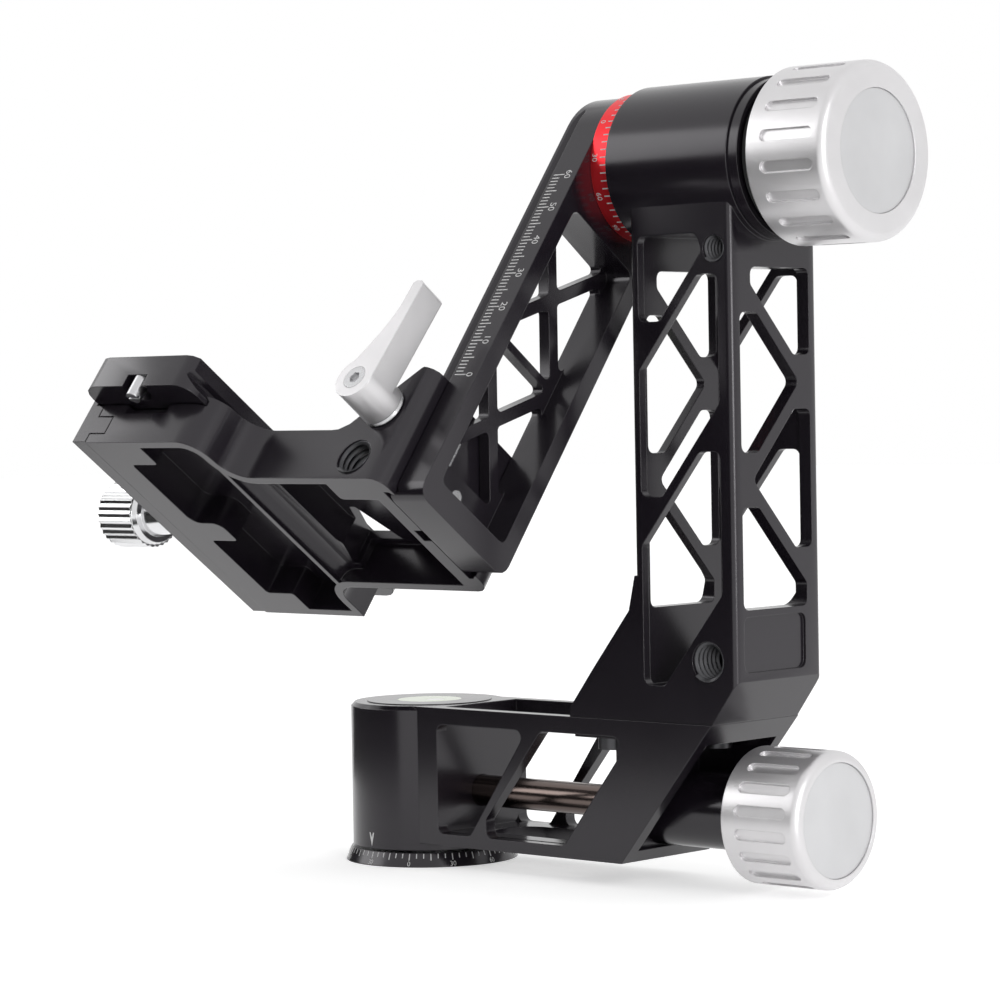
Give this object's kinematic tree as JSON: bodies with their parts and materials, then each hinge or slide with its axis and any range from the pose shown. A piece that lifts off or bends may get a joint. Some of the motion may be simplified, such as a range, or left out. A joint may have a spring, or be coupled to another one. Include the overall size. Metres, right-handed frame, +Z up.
{
  "type": "gimbal tripod head",
  "caption": "Gimbal head with a panning truss upright, a swing arm hung from a tilt axle, and a sliding platform with a quick-release lens plate.",
  "frame": {"origin": "centre of the base ring's underside, on the pan axis", "axes": "+Z up along the pan axis, +X along the tilt axle towards the two knobs, +Y away from the viewer"},
  "size_m": [0.1941, 0.1187, 0.1959],
  "materials": {
    "black_anodised": "satin",
    "silver_anodised": "bead-blasted satin",
    "silver_cap": "satin",
    "red_anodised": "satin",
    "steel": "satin",
    "polished_steel": "polished",
    "dark_steel": "black oxide, satin",
    "bronze": "satin",
    "black_plastic": "matt",
    "rubber": "matt",
    "level_fluid": "gloss",
    "level_air": "gloss"
  },
  "bodies": {
    "base": {"base_ring": "black_anodised", "spindle": "steel", "spindle_washer": "steel", "spindle_screw": "dark_steel"},
    "pan": {"pan_arm": "black_anodised", "pan_bearing_lower": "steel", "pan_bearing_upper": "steel", "level_cap": "black_anodised", "level_vial": "level_fluid", "level_bubble": "level_air", "brake_shoe": "bronze", "clamp_tube": "black_anodised", "upright_arm": "black_anodised", "join_screws": "dark_steel", "end_ring": "black_anodised", "tilt_bearing_inner": "steel", "tilt_bearing_outer": "steel"},
    "pan_knob": {"pan_knob": "silver_anodised", "pan_knob_cap": "silver_cap", "clamp_rod": "bronze"},
    "swing": {"swing_arm": "black_anodised", "scale_ring": "red_anodised", "tilt_axle": "dark_steel", "axle_screws": "dark_steel", "friction_washer": "black_plastic", "rail_stop": "steel"},
    "tilt_knob": {"tilt_knob": "silver_anodised", "tilt_knob_cap": "silver_cap"},
    "platform": {"platform": "black_anodised", "clamp_gib": "steel"},
    "lever": {"lever_handle": "silver_anodised", "lever_washer": "steel", "lever_screw": "steel", "lever_stud": "steel"},
    "jaw": {"qr_jaw": "black_anodised", "guide_pins": "steel"},
    "clamp_knob": {"qr_knob": "polished_steel", "qr_screw": "steel"},
    "lens_plate": {"lens_plate": "black_anodised", "stop_screws": "steel", "plate_pads": "rubber"}
  },
  "joints": [
    {"name": "pan", "type": "hinge", "parent": "base", "child": "pan", "pos_m": [0, 0, 0.02], "axis": [0, 0, 1], "continuous": true},
    {"name": "pan_lock", "type": "hinge", "parent": "pan", "child": "pan_knob", "pos_m": [0.12, 0, 0.0185], "axis": [1, 0, 0], "range_deg": [0, 720]},
    {"name": "tilt", "type": "hinge", "parent": "pan", "child": "swing", "pos_m": [0.099, 0, 0.1748], "axis": [1, 0, 0], "continuous": true},
    {"name": "tilt_lock", "type": "hinge", "parent": "swing", "child": "tilt_knob", "pos_m": [0.135, 0, 0.1748], "axis": [1, 0, 0], "range_deg": [0, 720]},
    {"name": "platform_lift", "type": "slide", "parent": "swing", "child": "platform", "axis": [0, 0.6018, 0.7986], "range_m": [0, 0.055]},
    {"name": "lever_turn", "type": "hinge", "parent": "platform", "child": "lever", "pos_m": [0.057, -0.07708, 0.12069], "axis": [0, -0.7986, 0.6018], "range_deg": [0, 100]},
    {"name": "jaw_slide", "type": "slide", "parent": "platform", "child": "jaw", "axis": [-1, 0, 0], "range_m": [0, 0.003]},
    {"name": "clamp_turn", "type": "hinge", "parent": "jaw", "child": "clamp_knob", "pos_m": [-0.04, -0.06277, 0.0915], "axis": [-1, 0, 0], "range_deg": [0, 1080]},
    {"name": "plate_slide", "type": "slide", "parent": "platform", "child": "lens_plate", "axis": [0, 0.7986, -0.6018], "range_m": [-0.006, 0.005]}
  ],
  "couplings": [
    {"joint": "clamp_turn", "follows": "jaw_slide", "rad_per_m": 6283.2}
  ]
}
